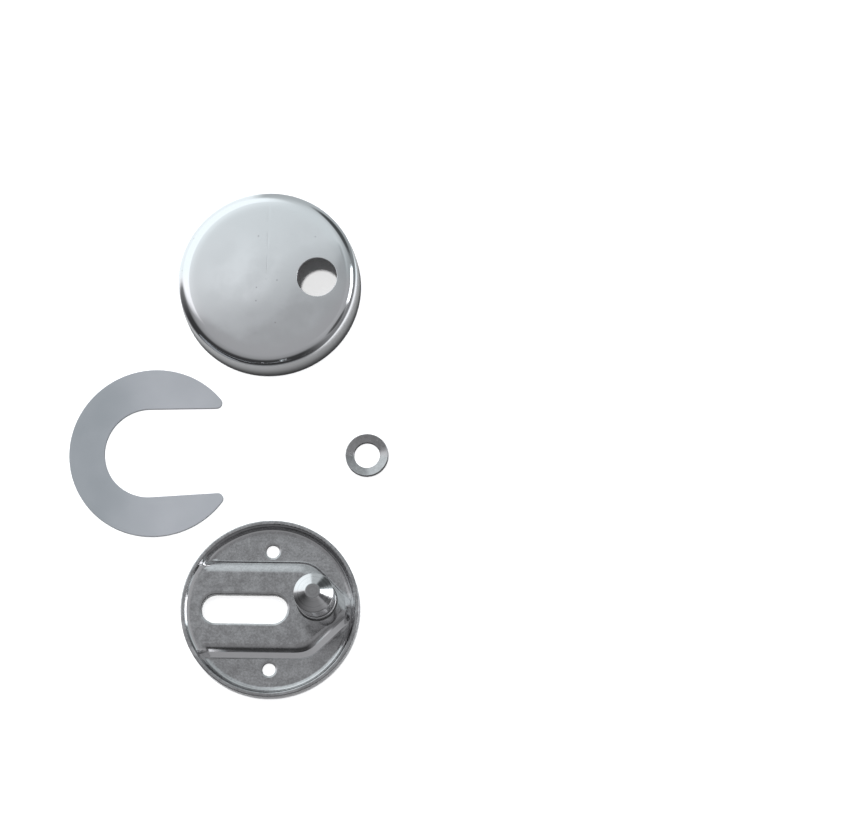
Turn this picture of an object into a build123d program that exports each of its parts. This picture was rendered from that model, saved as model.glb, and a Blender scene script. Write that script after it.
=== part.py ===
from build123d import *
import os
from math import cos, radians, tan

# Toilet seat hinge, fixed half, lying apart on a flat surface as it comes out of its bag.
# Millimetres, +Z up. Z 0 is the surface. X and Y 0 are the middle of the whole layout.

# Sheet that the base plate is pressed from, and the dish that it makes
plate_sheet = 1.3
plate_radius = 28.35
plate_rim_height = 4.8
rim_draft = 14.0
rim_inner_bend = 2.0
rim_lip_round = 0.35

# Raised pad pressed up in the plate, which carries the pin and the fixing slot
# Its outline is taken half way up its sloping side
pad_rise = 2.4
pad_half_width = 14.3
pad_draft = 30.0
pad_shoulder_bend = 0.7
pad_foot_bend = 2.4
pad_heel_bend = 0.95
flank_from_rim = 16.15
nose_from_rim = 4.15
pad_nose_half_width = 2.6
pad_flank_round = 10.0
pad_nose_round = 3.4

# Slot for the fixing bolt and the two small screw holes
slot_width = 9.6
slot_length = 27.5
slot_from_rim = 6.4
screw_hole_radius = 2.1
screw_hole_spacing = 37.9
press_edge_round = 0.25

# Hinge pin, turned bar riveted upright through the pad
pin_from_rim = 12.25
pin_height = 32.8
pin_tip_radius = 2.3
pin_cone_height = 3.0
pin_head_radius = 6.2
pin_head_land = 7.0
pin_edge_round = 0.3
neck_radius = 5.2
neck_length = 3.0
collar_length = 1.4
shank_radius = 5.75
tenon_radius = 4.0
tenon_clearance = 0.05
rivet_head_radius = 5.2
rivet_head_height = 1.3
rivet_head_round = 0.6

# Rubber ring in the groove under the collar
ring_section_radius = 0.9
ring_stand_out = 0.3
ring_clearance = 0.05

# Cover cap, drawn from thin polished sheet, which drops over the plate and the pin
cap_sheet = 0.6
cap_plate_clearance = 0.05
cap_height = 15.0
cap_edge_round = 3.9
cap_straight_skirt = 5.6
cap_taper = 0.5
cap_crown = 0.25
cap_foot_round = 0.2
cap_hole_clearance = 0.17
cap_hole_round = 0.15

# Plastic spacer that lies under the plate, open round the hollow of the pad
spacer_thickness = 1.0
spacer_set_back = 1.0
spacer_gap_clearance = 0.15
spacer_gap_centre = -1.5
spacer_gap_draft = 1.5
spacer_tip_round = 1.8
spacer_edge_round = 0.2

# Conical spring washer for the fixing bolt
washer_bore_radius = 4.12
washer_outer_radius = 6.82
washer_sheet = 1.3
washer_cone_rise = 0.75
washer_edge_round = 0.15

# Where the loose pieces lie, from the axis of the plate
cap_place = (-3.6, 105.6)
spacer_place = (-39.2, 50.8)
spacer_turn = 2.8
washer_place = (29.0, 50.6)

# How far a cutting or trimming body runs past the piece, and how near counts as the same level or size
overrun = 10.0
tolerance = 0.01

# Levels in the plate, and places along its middle line that follow its rim
pad_level = plate_sheet + pad_rise
pad_hollow = pad_rise
pad_flank_end = plate_radius - flank_from_rim
pad_nose_end = plate_radius - nose_from_rim
slot_centre = slot_from_rim + slot_length / 2 - plate_radius
pin_offset = plate_radius - pin_from_rim

# Levels along the pin
cone_level = pin_height - pin_cone_height
land_level = cone_level - pin_head_land
neck_level = land_level - neck_length
collar_level = neck_level - collar_length
groove_width = 2 * (ring_section_radius + ring_clearance)
groove_level = collar_level - groove_width
ring_centre_radius = pin_head_radius + ring_stand_out - ring_section_radius
groove_radius = ring_centre_radius - ring_section_radius - ring_clearance

# Radii of the cap that come from what it covers
cap_inner_radius = plate_radius + cap_plate_clearance
cap_radius = cap_inner_radius + cap_sheet
cap_hole_radius = pin_head_radius + cap_hole_clearance

# Radii of the spacer, which lies inside the rim and open round the hollow of the pad
spacer_radius = plate_radius - spacer_set_back
spacer_gap_radius = pad_half_width + spacer_gap_clearance

# Place of the plate that puts the middle of the layout at X and Y 0
layout_left = spacer_place[0] - spacer_radius
layout_right = washer_place[0] + washer_outer_radius
layout_front = -plate_radius
layout_back = cap_place[1] + cap_radius
plate_place = (-(layout_left + layout_right) / 2, -(layout_front + layout_back) / 2)


def rounded(face, corners):
    # Round each named corner of a flat face by its radius
    for corner, radius in corners:
        face = fillet(face.vertices().sort_by_distance(corner)[0], radius)
    return face


def turned(section):
    # Turn a half section, drawn as radius and height, round the upright axis
    return revolve(Plane.XZ * section, Axis.Z)


def laid(shape, place, turn=0.0):
    # Put a piece down in the layout, its place given from the axis of the plate
    return Pos(plate_place[0] + place[0], plate_place[1] + place[1]) * Rot(0, 0, turn) * shape


# Dish of the base plate, a flat floor with a leaning rim, in one thickness of sheet
lean = tan(radians(rim_draft))
outer_foot = plate_radius - plate_rim_height * lean
lip_width = plate_sheet / cos(radians(rim_draft))
inner_foot = plate_radius - lip_width - (plate_rim_height - plate_sheet) * lean
dish_corners = [(0, 0), (outer_foot, 0), (plate_radius, plate_rim_height)]
dish_corners += [(plate_radius - lip_width, plate_rim_height), (inner_foot, plate_sheet), (0, plate_sheet)]
dish_section = make_face(Polyline(*dish_corners, close=True))
dish_section = rounded(dish_section, [
    ((outer_foot, 0), rim_inner_bend + plate_sheet),
    ((plate_radius, plate_rim_height), rim_lip_round),
    ((plate_radius - lip_width, plate_rim_height), rim_lip_round),
    ((inner_foot, plate_sheet), rim_inner_bend),
])
dish = turned(dish_section)
puck_corners = [(0, 0), (outer_foot, 0), (plate_radius, plate_rim_height), (0, plate_rim_height)]
puck_section = make_face(Polyline(*puck_corners, close=True))
puck = turned(rounded(puck_section, [((outer_foot, 0), rim_inner_bend + plate_sheet)]))

# Outline of the pad, which runs out through the rim at its slot end and has a blunt nose by the pin
slot_end = -plate_radius - overrun
flank = [(slot_end, -pad_half_width), (pad_flank_end, -pad_half_width)]
nose = [(pad_nose_end, -pad_nose_half_width), (pad_nose_end, pad_nose_half_width)]
pad_corners = flank + nose + [(pad_flank_end, pad_half_width), (slot_end, pad_half_width)]
pad_outline = rounded(make_face(Polyline(*pad_corners, close=True)), [
    ((pad_flank_end, -pad_half_width), pad_flank_round),
    ((pad_flank_end, pad_half_width), pad_flank_round),
    ((pad_nose_end, -pad_nose_half_width), pad_nose_round),
    ((pad_nose_end, pad_nose_half_width), pad_nose_round),
])


def pressed_up(outline, level, shoulder_round, foot_round):
    # Flat ground at a level with the drafted pad standing on it, its shoulder and foot rounded
    pad = Pos(0, 0, level) * extrude(outline, pad_rise, taper=pad_draft)
    top = pad.faces().sort_by(Axis.Z)[-1]
    pad = fillet(top.edges().sort_by(Axis.X)[1:], shoulder_round)
    ground_width = 2 * (plate_radius + 2 * overrun)
    ground = Box(ground_width, ground_width, overrun, align=(Align.CENTER, Align.CENTER, Align.MAX))
    body = Pos(0, 0, level) * ground + pad
    at_foot = body.edges().filter_by_position(Axis.Z, level - tolerance, level + tolerance)
    at_foot = at_foot.filter_by(lambda edge: edge.length < ground_width - tolerance)
    return fillet(at_foot, foot_round)


# Upper and lower skins of the sheet over the pad, one sheet apart
slope = tan(radians(pad_draft))
upper_spread = pad_rise / 2 * slope
lower_spread = (pad_rise / 2 + plate_sheet) * slope - plate_sheet / cos(radians(pad_draft))
upper_outline = offset(pad_outline, upper_spread, kind=Kind.INTERSECTION)
lower_outline = offset(pad_outline, lower_spread, kind=Kind.INTERSECTION)
upper_skin = pressed_up(upper_outline, plate_sheet, pad_shoulder_bend + plate_sheet, pad_foot_bend)
lower_skin = pressed_up(lower_outline, 0, pad_shoulder_bend, pad_foot_bend + plate_sheet)

# Heel, the rounded corner where the slot end of the pad turns up into the rim
wall_at_pad = inner_foot + pad_rise * lean
wall_middle = plate_radius - lip_width / 2
heel_start = wall_at_pad - 2 * pad_heel_bend
heel_bottom = pad_level - pad_heel_bend
heel_top = plate_rim_height - rim_lip_round
heel_corners = [(heel_start, heel_bottom), (wall_middle, heel_bottom), (wall_middle, heel_top)]
heel_corners += [(plate_radius - lip_width - rim_lip_round * lean, heel_top), (wall_at_pad, pad_level)]
heel_corners += [(heel_start, pad_level)]
heel_section = make_face(Polyline(*heel_corners, close=True))
heel = turned(rounded(heel_section, [((wall_at_pad, pad_level), pad_heel_bend)]))
pad_side_limit = Pos(0, 0, plate_sheet) * extrude(upper_outline, plate_rim_height, taper=pad_draft)
slot_half = Pos(-plate_radius, 0) * Box(2 * plate_radius, 2 * plate_radius, 2 * overrun)
heel = heel & pad_side_limit & slot_half

# Base plate, punched for the bolt, the two screws and the tenon of the pin
base_plate = dish + (upper_skin & puck) + heel - lower_skin
slot_hole = Pos(slot_centre, 0) * extrude(SlotOverall(slot_length, slot_width), overrun)
screw_hole = extrude(Circle(screw_hole_radius), overrun)
tenon_hole = Pos(pin_offset, 0) * extrude(Circle(tenon_radius + tenon_clearance), overrun)
base_plate = base_plate - slot_hole - tenon_hole
for side in (-1, 1):
    base_plate = base_plate - Pos(0, side * screw_hole_spacing / 2, -overrun / 2) * screw_hole

# Punched edges of the slot and of the screw holes, a little rounded on both faces
slot_edges = base_plate.edges().filter_by_position(Axis.Z, pad_hollow - tolerance, pad_level + tolerance)
half_length = slot_length / 2 + tolerance
half_width = slot_width / 2 + tolerance
slot_edges = slot_edges.filter_by(lambda edge: abs(edge.center().X - slot_centre) < half_length)
slot_edges = slot_edges.filter_by(lambda edge: abs(edge.center().Y) < half_width)
slot_edges = slot_edges.filter_by(lambda edge: abs(edge.tangent_at(0.5).Z) < tolerance)
screw_edges = base_plate.edges().filter_by(GeomType.CIRCLE)
screw_edges = screw_edges.filter_by(lambda edge: abs(edge.radius - screw_hole_radius) < tolerance)
base_plate = fillet(slot_edges + screw_edges, press_edge_round)

# Hinge pin with its cone tip, head, neck, collar, groove, shank, tenon and rivet head
rivet_level = pad_hollow - rivet_head_height
pin_corners = [
    (0, rivet_level),
    (rivet_head_radius, rivet_level),
    (rivet_head_radius, pad_hollow),
    (tenon_radius, pad_hollow),
    (tenon_radius, pad_level),
    (shank_radius, pad_level),
    (shank_radius, groove_level),
    (groove_radius, groove_level),
    (groove_radius, collar_level),
    (pin_head_radius, collar_level),
    (pin_head_radius, neck_level),
    (neck_radius, neck_level),
    (neck_radius, land_level),
    (pin_head_radius, land_level),
    (pin_head_radius, cone_level),
    (pin_tip_radius, pin_height),
    (0, pin_height),
]
pin_section = rounded(make_face(Polyline(*pin_corners, close=True)), [
    ((rivet_head_radius, rivet_level), rivet_head_round),
    ((shank_radius, groove_level), pin_edge_round),
    ((pin_head_radius, collar_level), pin_edge_round),
    ((pin_head_radius, neck_level), pin_edge_round),
    ((pin_head_radius, land_level), pin_edge_round),
    ((pin_head_radius, cone_level), pin_edge_round),
    ((pin_tip_radius, pin_height), pin_edge_round),
])
hinge_pin = Pos(pin_offset, 0) * turned(pin_section)

# Rubber ring, round in section, seated in the groove
ring_level = groove_level + groove_width / 2
pin_o_ring = Pos(pin_offset, 0, ring_level) * Torus(ring_centre_radius, ring_section_radius)


def cap_section(radius, height, edge_round):
    # Half section of one skin of the cap, filled to the axis, with a straight foot, a taper and a low crown
    shoulder = radius - cap_taper
    shoulder_level = height - cap_crown
    skirt = [(0, height), (0, 0), (radius, 0), (radius, cap_straight_skirt), (shoulder, shoulder_level)]
    sides = Polyline(*skirt)
    crown = ThreePointArc((shoulder, shoulder_level), (shoulder / 2, height - cap_crown / 4), (0, height))
    return rounded(make_face(sides + crown), [((shoulder, shoulder_level), edge_round)])


# Cover cap with one round hole that lets the pin through
cap_skin = cap_section(cap_radius, cap_height, cap_edge_round)
cap_skin = cap_skin - cap_section(cap_inner_radius, cap_height - cap_sheet, cap_edge_round - cap_sheet)
cap_skin = rounded(cap_skin, [((cap_radius, 0), cap_foot_round), ((cap_inner_radius, 0), cap_foot_round)])
cap_hole = Pos(pin_offset, 0) * extrude(Circle(cap_hole_radius), cap_height + overrun)
cover_cap = Rot(0, 0, 90) * turned(cap_skin) - cap_hole
hole_wall = cover_cap.faces().filter_by(GeomType.CYLINDER).sort_by(SortBy.AREA)[0]
cover_cap = fillet(hole_wall.edges().filter_by(GeomType.LINE, reverse=True), cap_hole_round)

# Spacer, a flat ring with a round-ended gap whose arms close in a little to rounded tips
gap_reach = spacer_radius + overrun
gap_mouth = spacer_gap_radius - gap_reach * tan(radians(spacer_gap_draft))
near_end = (spacer_gap_centre, -spacer_gap_radius)
far_end = (spacer_gap_centre, spacer_gap_radius)
gap_sides = Polyline(near_end, (gap_reach, -gap_mouth), (gap_reach, gap_mouth), far_end)
gap_round = ThreePointArc(far_end, (spacer_gap_centre - spacer_gap_radius, 0), near_end)
spacer_face = Circle(spacer_radius) - make_face(gap_sides + gap_round)
spacer_tips = spacer_face.vertices().sort_by(Axis.X)[-2:]
spacer_face = fillet(spacer_tips, spacer_tip_round)
spacer = extrude(spacer_face, spacer_thickness)
spacer = fillet(spacer.faces().sort_by(Axis.Z)[-1].edges(), spacer_edge_round)

# Spring washer, a shallow cone lying with its hollow up
washer_corners = [
    (washer_bore_radius, 0),
    (washer_outer_radius, washer_cone_rise),
    (washer_outer_radius, washer_cone_rise + washer_sheet),
    (washer_bore_radius, washer_sheet),
]
washer_section = make_face(Polyline(*washer_corners, close=True))
lock_washer = turned(rounded(washer_section, [(corner, washer_edge_round) for corner in washer_corners]))
lock_washer = Pos(0, 0, -lock_washer.bounding_box().min.Z) * lock_washer

# Everything laid out, one file for each piece
os.makedirs("parts", exist_ok=True)
export_step(laid(base_plate, (0, 0)), "parts/base_plate.step")
export_step(laid(hinge_pin, (0, 0)), "parts/hinge_pin.step")
export_step(laid(pin_o_ring, (0, 0)), "parts/pin_o_ring.step")
export_step(laid(cover_cap, cap_place), "parts/cover_cap.step")
export_step(laid(spacer, spacer_place, spacer_turn), "parts/spacer.step")
export_step(laid(lock_washer, washer_place), "parts/lock_washer.step")
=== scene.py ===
import bmesh
import bpy
from math import cos, radians, sin
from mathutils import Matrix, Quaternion, Vector


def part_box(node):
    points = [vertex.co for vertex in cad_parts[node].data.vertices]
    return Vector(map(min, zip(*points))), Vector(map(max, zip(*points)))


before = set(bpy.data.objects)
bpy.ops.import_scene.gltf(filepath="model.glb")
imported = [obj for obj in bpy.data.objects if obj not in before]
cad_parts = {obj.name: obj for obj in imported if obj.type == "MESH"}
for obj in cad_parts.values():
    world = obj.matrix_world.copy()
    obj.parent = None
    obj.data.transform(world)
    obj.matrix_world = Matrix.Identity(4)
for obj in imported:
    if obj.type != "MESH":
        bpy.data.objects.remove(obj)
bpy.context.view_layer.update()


# Base plate: a dish pressed from rolled stainless sheet, with a raised pad that carries the pin. The
# flats keep the mill's dull, mottled grain. The press rubs the bends bright and rolls the pad's edges
# over, and the pad's front bend is painted brighter than its back as a painted highlight. The slot and
# the screw holes are punched and their edges drawn in; their walls are painted dark as painted shade.
rolled_dark = (0.31, 0.31, 0.313)
rolled_pale = (0.425, 0.425, 0.43)
bright_rubbed_and_painted_highlight = (0.64, 0.64, 0.645)
# Painted shade on the walls of the slot and the screw holes
painted_hole_shade = (0.10, 0.10, 0.10)
rolled_dullness = (0.14, 0.26)
rubbed_dullness = 0.07
grain_size = 1500.0
patch_size = 330.0
grain_share = 0.6
mottle_band = (0.34, 0.66)
cloud_band = (0.3, 0.7)
grain_height = 0.0000015
rim_bend_reach = (0.0252, 0.0259)
rim_bend_height = (0.0043, 0.0046)
inside_rim_reach = (0.0232, 0.0244)
hole_walls_reach = (0.0235, 0.0240)
level_facing = (0.15, 0.35)
# How much brighter the pad's front bend is painted than its back bend: a painted highlight
painted_highlight_front_to_back = (-0.012, 0.012)
front_painted_highlight = 0.85
back_painted_highlight = 0.05


def add(tree, kind, inputs=None, **settings):
    made = tree.nodes.new("ShaderNode" + kind)
    for setting, value in settings.items():
        setattr(made, setting, value)
    for socket, value in (inputs or {}).items():
        if isinstance(value, bpy.types.NodeSocket):
            tree.links.new(value, made.inputs[socket])
        else:
            made.inputs[socket].default_value = value
    return made


def maths(tree, operation, first, second=0.0, ease=0.0):
    return add(tree, "Math", {0: first, 1: second, 2: ease}, operation=operation).outputs[0]


def times(tree, first, second):
    return maths(tree, "MULTIPLY", first, second)


def plus(tree, first, second):
    return maths(tree, "ADD", first, second)


def less(tree, first, second):
    return maths(tree, "SUBTRACT", first, second)


def measure(tree, operation, first, second=(0.0, 0.0, 0.0)):
    return add(tree, "VectorMath", {0: first, 1: second}, operation=operation).outputs["Value"]


def shift(tree, operation, first, second=(0.0, 0.0, 0.0)):
    return add(tree, "VectorMath", {0: first, 1: second}, operation=operation).outputs["Vector"]


def part(tree, vector, axis):
    return add(tree, "SeparateXYZ", {0: vector}).outputs[axis]


def span(tree, value, band, start=0.0, end=1.0):
    limits = {"Value": value, "From Min": band[0], "From Max": band[1], "To Min": start, "To Max": end}
    return add(tree, "MapRange", limits, interpolation_type="SMOOTHSTEP").outputs["Result"]


def mix(tree, amount, first, second):
    return add(tree, "Mix", {"Factor": amount, 2: first, 3: second}).outputs[0]


def blend_colour(tree, amount, first, second):
    is_socket = isinstance(first, bpy.types.NodeSocket)
    colours = {"Factor": amount, 6: first if is_socket else (*first, 1), 7: (*second, 1)}
    return add(tree, "Mix", colours, data_type="RGBA").outputs[2]


def cloud(tree, place, size, detail=3.0, rough=0.5):
    settings = {"Vector": place, "Scale": size, "Detail": detail, "Roughness": rough}
    return add(tree, "TexNoise", settings).outputs["Fac"]


def middle(node):
    low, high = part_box(node)
    return ((low[0] + high[0]) / 2, (low[1] + high[1]) / 2, 0.0)


def axis_reach(tree, place, centre):
    level = shift(tree, "MULTIPLY", shift(tree, "SUBTRACT", place, centre), (1, 1, 0))
    return measure(tree, "LENGTH", level)


def skin(node, name, metallic):
    made = bpy.data.materials.new(name)
    made.use_nodes = True
    made.node_tree.nodes["Principled BSDF"].inputs["Metallic"].default_value = metallic
    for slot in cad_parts[node].material_slots:
        slot.material = made
    return made.node_tree, add(made.node_tree, "TexCoord").outputs["Object"]


def finish(tree, colour, dullness, height, amount=1.0, ground=None):
    bump = add(tree, "Bump", {"Height": height, "Distance": 1.0, "Strength": amount})
    if ground is not None:
        tree.links.new(ground, bump.inputs["Normal"])
    shader = tree.nodes["Principled BSDF"].inputs
    tree.links.new(colour, shader["Base Color"])
    tree.links.new(dullness, shader["Roughness"])
    tree.links.new(bump.outputs[0], shader["Normal"])


tree, place = skin("base_plate", "pressed_plate", 1.0)
from_centre = shift(tree, "SUBTRACT", place, middle("base_plate"))
along = part(tree, from_centre, "X")
across = part(tree, from_centre, "Y")
aside = maths(tree, "ABSOLUTE", across)
beside = add(tree, "CombineXYZ", {0: along, 1: aside}).outputs[0]
plate_reach = axis_reach(tree, place, middle("base_plate"))
plate_height = part(tree, place, "Z")
facing = part(tree, add(tree, "NewGeometry").outputs["True Normal"], "Z")

# How far a point lies out past the line half way down the pad's side, the same on both sides
pad_side = 0.0143
pad_corner = 0.0188
corner_way = (0.698, 0.716, 0.0)
corner_ease = 0.004
past_flank = less(tree, aside, pad_side)
past_corner = less(tree, measure(tree, "DOT_PRODUCT", beside, corner_way), pad_corner)
past_side = maths(tree, "SMOOTH_MAX", past_flank, past_corner, corner_ease)

# Rolled flats, bends rubbed bright with a painted highlight on the pad's front bend, and painted shade
# on the hole walls
pad_rub_start = (-0.0018, -0.0009)
pad_rub_end = (0.0009, 0.0013)
rim_top = span(tree, plate_height, rim_bend_height, 1.0, 0.0)
rim_bend = times(tree, span(tree, plate_reach, rim_bend_reach), rim_top)
pad_end = span(tree, past_side, pad_rub_end, 1.0, 0.0)
pad_bend = times(tree, span(tree, past_side, pad_rub_start), pad_end)
# Painted highlight: the pad's front bend is painted brighter than its back bend
painted_front_highlight = span(tree, across, painted_highlight_front_to_back, front_painted_highlight, back_painted_highlight)
rubbed_and_painted_highlight = maths(tree, "MAXIMUM", rim_bend, times(tree, pad_bend, painted_front_highlight))
grain = cloud(tree, place, grain_size, detail=6.0, rough=0.6)
patches = cloud(tree, place, patch_size)
mottle = plus(tree, times(tree, grain, grain_share), times(tree, patches, 1 - grain_share))
flats = blend_colour(tree, span(tree, mottle, mottle_band), rolled_dark, rolled_pale)
pressed_with_painted_highlight = blend_colour(tree, rubbed_and_painted_highlight, flats, bright_rubbed_and_painted_highlight)
# Painted shade: the walls of the slot and the screw holes are painted dark
upright = span(tree, maths(tree, "ABSOLUTE", facing), level_facing, 1.0, 0.0)
hole_wall_shade_mask = times(tree, upright, span(tree, plate_reach, hole_walls_reach, 1.0, 0.0))
plate_colour = blend_colour(tree, hole_wall_shade_mask, pressed_with_painted_highlight, painted_hole_shade)
plate_dullness = mix(tree, rubbed_and_painted_highlight, span(tree, mottle, cloud_band, *rolled_dullness), rubbed_dullness)

# Front of the pad: a wide rolled shoulder, a plain slope and a tight foot
shoulder_start = -0.0021
shoulder_ease = 0.0012
shoulder_width = 0.0017
shoulder_fall = 1.06
slope_start = -0.0004
slope_width = 0.0015
slope_fall = 0.42
front_foot = (0.0011, 0.0015)
front_foot_drop = 0.0003
on_shoulder = maths(tree, "SMOOTH_MAX", less(tree, past_side, shoulder_start), 0.0, shoulder_ease)
on_shoulder = maths(tree, "MINIMUM", on_shoulder, shoulder_width)
on_slope = maths(tree, "MAXIMUM", less(tree, past_side, slope_start), 0.0)
on_slope = maths(tree, "MINIMUM", on_slope, slope_width)
front_drop = plus(tree, times(tree, on_shoulder, shoulder_fall), times(tree, on_slope, slope_fall))
front_drop = plus(tree, front_drop, span(tree, past_side, front_foot, 0.0, front_foot_drop))

# Back of the pad: one long roll that gets steeper, and a narrow foot
back_start = -0.0027
back_width = 0.0032
back_curve = 90.0
back_foot = (0.0005, 0.0015)
back_foot_drop = 0.0007
front_to_back = (-0.006, 0.006)
on_back = maths(tree, "MAXIMUM", less(tree, past_side, back_start), 0.0)
on_back = maths(tree, "MINIMUM", on_back, back_width)
back_drop = times(tree, times(tree, on_back, on_back), back_curve)
back_drop = plus(tree, back_drop, span(tree, past_side, back_foot, 0.0, back_foot_drop))
pad_drop = mix(tree, span(tree, across, front_to_back), front_drop, back_drop)

# Edges of the two screw holes and of the slot, drawn in by the punch
screw_hole = (0.0, 0.01895, 0.0)
screw_hole_radius = 0.0021
slot_middle = -0.0082
slot_half_straight = 0.00895
slot_half_width = 0.0048
edge_roll = 0.0006
edge_fall = 0.35
to_screw_hole = less(tree, measure(tree, "DISTANCE", beside, screw_hole), screw_hole_radius)
along_slot = maths(tree, "ABSOLUTE", less(tree, along, slot_middle))
past_straight = maths(tree, "MAXIMUM", less(tree, along_slot, slot_half_straight), 0.0)
from_slot = measure(tree, "LENGTH", add(tree, "CombineXYZ", {0: past_straight, 1: aside}).outputs[0])
to_edge = maths(tree, "MINIMUM", to_screw_hole, less(tree, from_slot, slot_half_width))
edge_drop = times(tree, maths(tree, "MINIMUM", less(tree, to_edge, edge_roll), 0.0), edge_fall)

# Inside the rim the relief stands on level ground, so the pad's profile is the one given here
inside_rim = span(tree, plate_reach, inside_rim_reach, 1.0, 0.0)
on_top = times(tree, inside_rim, span(tree, facing, level_facing))
own_normal = add(tree, "NewGeometry").outputs["Normal"]
ground = add(tree, "Mix", {"Factor": on_top, 4: own_normal, 5: (0, 0, 1)}, data_type="VECTOR").outputs[1]
plate_relief = plus(tree, less(tree, edge_drop, pad_drop), times(tree, grain, grain_height))
finish(tree, plate_colour, plate_dullness, plate_relief, inside_rim, ground)


# Hinge pin: turned from stainless bar and polished in the lathe, which leaves fine rings round it. Its
# flat tip is coloured darker than the rest. It is riveted upright through the plate's pad.
pin_dark = (0.58, 0.58, 0.585)
pin_bright = (0.68, 0.68, 0.685)
faced_tip = (0.34, 0.34, 0.343)
faced_tip_height = (0.03268, 0.03276)
pin_dullness = (0.08, 0.20)
ring_size = 2600.0
ring_depth = 0.000003

tree, place = skin("hinge_pin", "turned_pin", 1.0)
pin_reach = axis_reach(tree, place, middle("hinge_pin"))
pin_height = part(tree, place, "Z")
ring_place = add(tree, "CombineXYZ", {0: pin_reach, 1: pin_height}).outputs[0]
rings = cloud(tree, ring_place, ring_size, detail=4.0, rough=0.6)
turned = blend_colour(tree, span(tree, rings, cloud_band), pin_dark, pin_bright)
pin_colour = blend_colour(tree, span(tree, pin_height, faced_tip_height), turned, faced_tip)
finish(tree, pin_colour, span(tree, rings, cloud_band, *pin_dullness), times(tree, rings, ring_depth))


# Ring: plain black rubber, moulded, and sprung into the groove under the pin's collar. It is matt,
# with the bloom and fine dust that such rubber takes on.
rubber_black = (0.022, 0.022, 0.023)
rubber_dusty = (0.05, 0.05, 0.05)
rubber_dullness = (0.45, 0.70)
dust_size = 900.0
dust_band = (0.35, 0.75)
dust_depth = 0.00002

tree, place = skin("pin_o_ring", "ring_rubber", 0.0)
dust = cloud(tree, place, dust_size, detail=6.0, rough=0.65)
rubber = blend_colour(tree, span(tree, dust, dust_band), rubber_black, rubber_dusty)
finish(tree, rubber, span(tree, dust, cloud_band, *rubber_dullness), times(tree, dust, dust_depth))


# Cover cap: drawn from thin stainless sheet and polished bright all over. Its face falls away a little
# just inside the edge and is very slightly wavy from drawing. Handling has left a few small specks.
cap_polished = (0.66, 0.67, 0.68)
cap_speck = (0.50, 0.50, 0.51)
cap_dullness = (0.06, 0.12)
polish_size = 120.0
speck_spacing = 330.0
speck_edge = (0.04, 0.13)
speck_choice = (0.78, 0.86)
crown_start = 0.0243
crown_ease = 0.003
crown_fall = 0.055
face_edge = (0.0262, 0.0275)
wave_size = 110.0
wave_depth = 0.000003

tree, place = skin("cover_cap", "polished_cap", 1.0)
cells = add(tree, "TexVoronoi", {"Vector": place, "Scale": speck_spacing})
dot = span(tree, cells.outputs["Distance"], speck_edge, 1.0, 0.0)
lot = add(tree, "SeparateColor", {0: cells.outputs["Color"]}).outputs[0]
speck = times(tree, dot, span(tree, lot, speck_choice))
cap_colour = blend_colour(tree, speck, cap_polished, cap_speck)
polish = span(tree, cloud(tree, place, polish_size, detail=5.0), cloud_band, *cap_dullness)
cap_reach = axis_reach(tree, place, middle("cover_cap"))
past_face = maths(tree, "SMOOTH_MAX", less(tree, cap_reach, crown_start), 0.0, crown_ease)
waves = times(tree, cloud(tree, place, wave_size, detail=1.0), wave_depth)
crown = plus(tree, times(tree, past_face, -crown_fall), waves)
finish(tree, cap_colour, polish, crown, span(tree, cap_reach, face_edge, 1.0, 0.0))


# Spacer: an open ring punched from grey plastic sheet. It has a slightly silky skin with a very fine
# grain. Its colour is cloudy, and it is coloured darker towards the closed end.
spacer_deep = (0.225, 0.243, 0.262)
spacer_pale = (0.335, 0.345, 0.370)
spacer_dullness = (0.36, 0.50)
deep_to_pale = (-0.044, -0.018)
pale_share = 0.75
cloud_size = 70.0
fine_size = 3000.0
fine_depth = 0.000006

tree, place = skin("spacer", "spacer_plastic", 0.0)
clouds = cloud(tree, place, cloud_size, detail=4.0, rough=0.45)
fine = cloud(tree, place, fine_size)
sideways = span(tree, part(tree, place, "X"), deep_to_pale, 0.0, pale_share)
paler = plus(tree, sideways, span(tree, clouds, cloud_band, 0.0, 1 - pale_share))
plastic = blend_colour(tree, paler, spacer_deep, spacer_pale)
finish(tree, plastic, span(tree, clouds, cloud_band, *spacer_dullness), times(tree, fine, fine_depth))


# Lock washer: stamped from spring steel and coned, then zinc plated in a barrel. That leaves it satin
# and cloudy. Its relief makes the cone look a little steeper.
zinc_deep = (0.33, 0.33, 0.333)
zinc_pale = (0.41, 0.41, 0.413)
zinc_dullness = (0.16, 0.28)
zinc_size = 700.0
zinc_band = (0.32, 0.68)
zinc_depth = 0.000004
dish_rise = 0.17

tree, place = skin("lock_washer", "plated_washer", 1.0)
plating = cloud(tree, place, zinc_size, detail=6.0, rough=0.65)
zinc = blend_colour(tree, span(tree, plating, zinc_band), zinc_deep, zinc_pale)
washer_reach = axis_reach(tree, place, middle("lock_washer"))
dish = plus(tree, times(tree, washer_reach, dish_rise), times(tree, plating, zinc_depth))
finish(tree, zinc, span(tree, plating, cloud_band, *zinc_dullness), dish)


# Paper: the pieces lie on a sheet of white paper, wide enough that its edge is never in view. The
# camera sees it white. Metal mirrors it dimmer near by, with its shadows and a painted contact shade
# that darkens it close to the pieces, and the room further off.
paper_half_width = 3.0
paper_lit = 0.8
paper_shown = 1.12
paper_mirrored = 0.42
painted_contact_shade = 0.06
painted_contact_shade_distance = (0.0, 0.011)
open_distance = (0.009, 0.017)
cap_foot_reach = (0.0285, 0.0290)

paper = bpy.data.materials.new("table_paper")
paper.use_nodes = True
tree = paper.node_tree
tree.nodes.remove(tree.nodes["Principled BSDF"])
path = add(tree, "LightPath")
mirrored = path.outputs["Is Glossy Ray"]
ray_length = path.outputs["Ray Length"]
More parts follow.
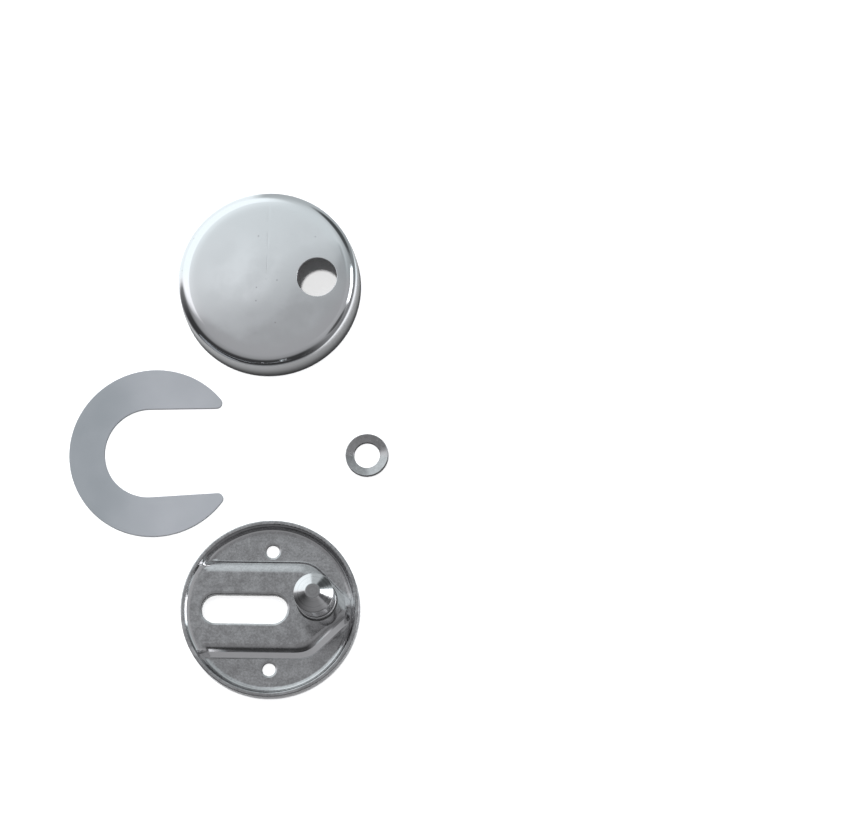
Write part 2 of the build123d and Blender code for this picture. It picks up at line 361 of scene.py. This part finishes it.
# Painted contact shade: the mirrored paper is painted darker the closer it is to what mirrors it
mirrored_with_painted_contact_shade = span(tree, ray_length, painted_contact_shade_distance, painted_contact_shade, paper_mirrored)
whitened = times(tree, path.outputs["Is Camera Ray"], paper_shown - paper_lit)
white = plus(tree, mix(tree, mirrored, paper_lit, mirrored_with_painted_contact_shade), whitened)
solid_paper = add(tree, "BsdfDiffuse", {"Color": white}).outputs[0]
no_paper = add(tree, "BsdfTransparent").outputs[0]
from_cap = measure(tree, "DISTANCE", add(tree, "TexCoord").outputs["Object"], middle("cover_cap"))
in_the_open = times(tree, mirrored, span(tree, from_cap, cap_foot_reach))
far_off = times(tree, in_the_open, span(tree, ray_length, open_distance))
sheet = add(tree, "MixShader", {0: far_off, 1: solid_paper, 2: no_paper}).outputs[0]
tree.links.new(sheet, tree.nodes["Material Output"].inputs["Surface"])

paper_form = bmesh.new()
bmesh.ops.create_grid(paper_form, x_segments=1, y_segments=1, size=paper_half_width)
paper_mesh = bpy.data.meshes.new("table_top")
paper_form.to_mesh(paper_mesh)
paper_form.free()
paper_mesh.materials.append(paper)
table_top = bpy.data.objects.new("table_top", paper_mesh)
bpy.context.scene.collection.objects.link(table_top)


# Room: soft studio light, set as a level for each direction. It is bright at the back and in half of
# the ceiling, dim at the sides and dark low down in front, with a tall white panel at the left and a
# small one low at the right. A wall is a row of elevations, each with its level of light.
back_wall = ((-10, 0.62), (10, 0.67), (50, 0.92))
side_wall = ((-15, 0.28), (2, 0.29), (28, 0.48), (60, 0.56))
front_wall = ((-70, 0.46), (-34, 0.05), (17, 0.06), (33, 0.38), (60, 0.48))

# Azimuth and elevation of a patch, then how far out it is full and how far out it ends, in degrees
back_bearing = (350, 0, 25, 75)
front_bearing = (205, 0, 50, 82)
ceiling_lamp = (-23.8, 72.3, 0.1, 1.7)
right_gap = (38, 6, 12, 24)
far_right_gap = (112, 22, 8, 15)
tall_panel_bearing = (315, 0, 28, 37)
left_lamp = (314, 34, 26, 40)
table_glow = (90, -52, 20, 34)
side_panel_bearing = (79, 0, 12, 15)

ceiling_rise = (0.80, 0.93)
ceiling_way = (-0.5, 1.0, 0.0)
ceiling_edge = (0.300, 0.338)
tall_panel_top = (0.88, 0.95)
side_panel_foot = (0.10, 0.16)
side_panel_top = (0.42, 0.52)

ceiling_dim = 0.49
ceiling_bright = 0.93
ceiling_lamp_level = 1.06
right_gap_level = 0.1
far_right_gap_level = 0.12
tall_panel_level = 1.35
left_lamp_level = 1.5
table_glow_level = 1.35
side_panel_level = 1.2
side_panel_mirrored = 4.0
front_tint = (0.985, 0.99, 1.02)
back_tint = (0.925, 0.99, 1.02)
tint_edge = (0.20, 0.34)


def near(tree, direction, azimuth, elevation, full, none):
    turn, rise = radians(azimuth), radians(elevation)
    centre = (sin(turn) * cos(rise), cos(turn) * cos(rise), sin(rise))
    closeness = measure(tree, "DOT_PRODUCT", direction, centre)
    return span(tree, closeness, (cos(radians(none)), cos(radians(full))))


def wall(tree, height, steps):
    level = steps[0][1]
    for (low, old), (high, new) in zip(steps, steps[1:]):
        limits = {"From Min": sin(radians(low)), "From Max": sin(radians(high)), "To Max": new - old}
        rise = add(tree, "MapRange", {"Value": height, **limits}).outputs["Result"]
        level = plus(tree, rise, level)
    return level


world = bpy.data.worlds.new("studio_room")
bpy.context.scene.world = world
world.use_nodes = True
tree = world.node_tree
way = add(tree, "TexCoord").outputs["Generated"]
bearing = shift(tree, "NORMALIZE", shift(tree, "MULTIPLY", way, (1, 1, 0)))
upwards = part(tree, way, "Z")
back_part = near(tree, bearing, *back_bearing)
room = mix(tree, back_part, wall(tree, upwards, side_wall), wall(tree, upwards, back_wall))
room = mix(tree, near(tree, bearing, *front_bearing), room, wall(tree, upwards, front_wall))
slant = measure(tree, "DOT_PRODUCT", way, ceiling_way)
ceiling = span(tree, slant, ceiling_edge, ceiling_dim, ceiling_bright)
room = mix(tree, span(tree, upwards, ceiling_rise), room, ceiling)
room = mix(tree, near(tree, way, *ceiling_lamp), room, ceiling_lamp_level)
room = mix(tree, near(tree, way, *right_gap), room, right_gap_level)
room = mix(tree, near(tree, way, *far_right_gap), room, far_right_gap_level)
below_top = span(tree, upwards, tall_panel_top, 1.0, 0.0)
tall_panel = times(tree, near(tree, bearing, *tall_panel_bearing), below_top)
room = mix(tree, tall_panel, room, tall_panel_level)
room = mix(tree, near(tree, way, *left_lamp), room, left_lamp_level)
room = mix(tree, near(tree, way, *table_glow), room, table_glow_level)
panel_height = span(tree, upwards, side_panel_top, 1.0, 0.0)
panel_height = times(tree, span(tree, upwards, side_panel_foot), panel_height)
side_panel = times(tree, near(tree, bearing, *side_panel_bearing), panel_height)
light_path = add(tree, "LightPath").outputs
panel_level = mix(tree, light_path["Is Glossy Ray"], side_panel_level, side_panel_mirrored)
room = mix(tree, side_panel, room, panel_level)
level = mix(tree, light_path["Is Camera Ray"], room, 1.0)
tint = blend_colour(tree, span(tree, part(tree, way, "Y"), tint_edge), front_tint, back_tint)
tree.links.new(level, tree.nodes["Background"].inputs["Strength"])
tree.links.new(tint, tree.nodes["Background"].inputs["Color"])


# Lamp: hangs straight above and sends light down through the slot and the holes on to the paper. The
# metal doesn't mirror the lamp itself.
lamp_energy = 1.9
lamp_angle = radians(4)

lamp = bpy.data.objects.new("overhead_lamp", bpy.data.lights.new("overhead_lamp", "SUN"))
lamp.data.energy = lamp_energy
lamp.data.angle = lamp_angle
lamp.visible_glossy = False
bpy.context.scene.collection.objects.link(lamp)


# Camera: high above and a little in front, with a long lens, turned so that the pieces stand in the
# picture as they do in the photograph.
camera_lens = 171.54
camera_sensor = 36
nearest_in_view = 0.05
camera_place = Vector((0.152997, -0.306260, 1.269300))
camera_target = Vector((0.064555, 0.009865, 0.0))
camera_roll = radians(-14.642)

camera = bpy.data.objects.new("camera", bpy.data.cameras.new("camera"))
camera.data.lens = camera_lens
camera.data.sensor_width = camera_sensor
camera.data.clip_start = nearest_in_view
camera.location = camera_place
facing_target = (camera_target - camera_place).to_track_quat("-Z", "Y")
camera.rotation_euler = (facing_target @ Quaternion((0, 0, 1), camera_roll)).to_euler()
bpy.context.scene.collection.objects.link(camera)
bpy.context.scene.camera = camera
bpy.context.scene.view_settings.view_transform = "Standard"
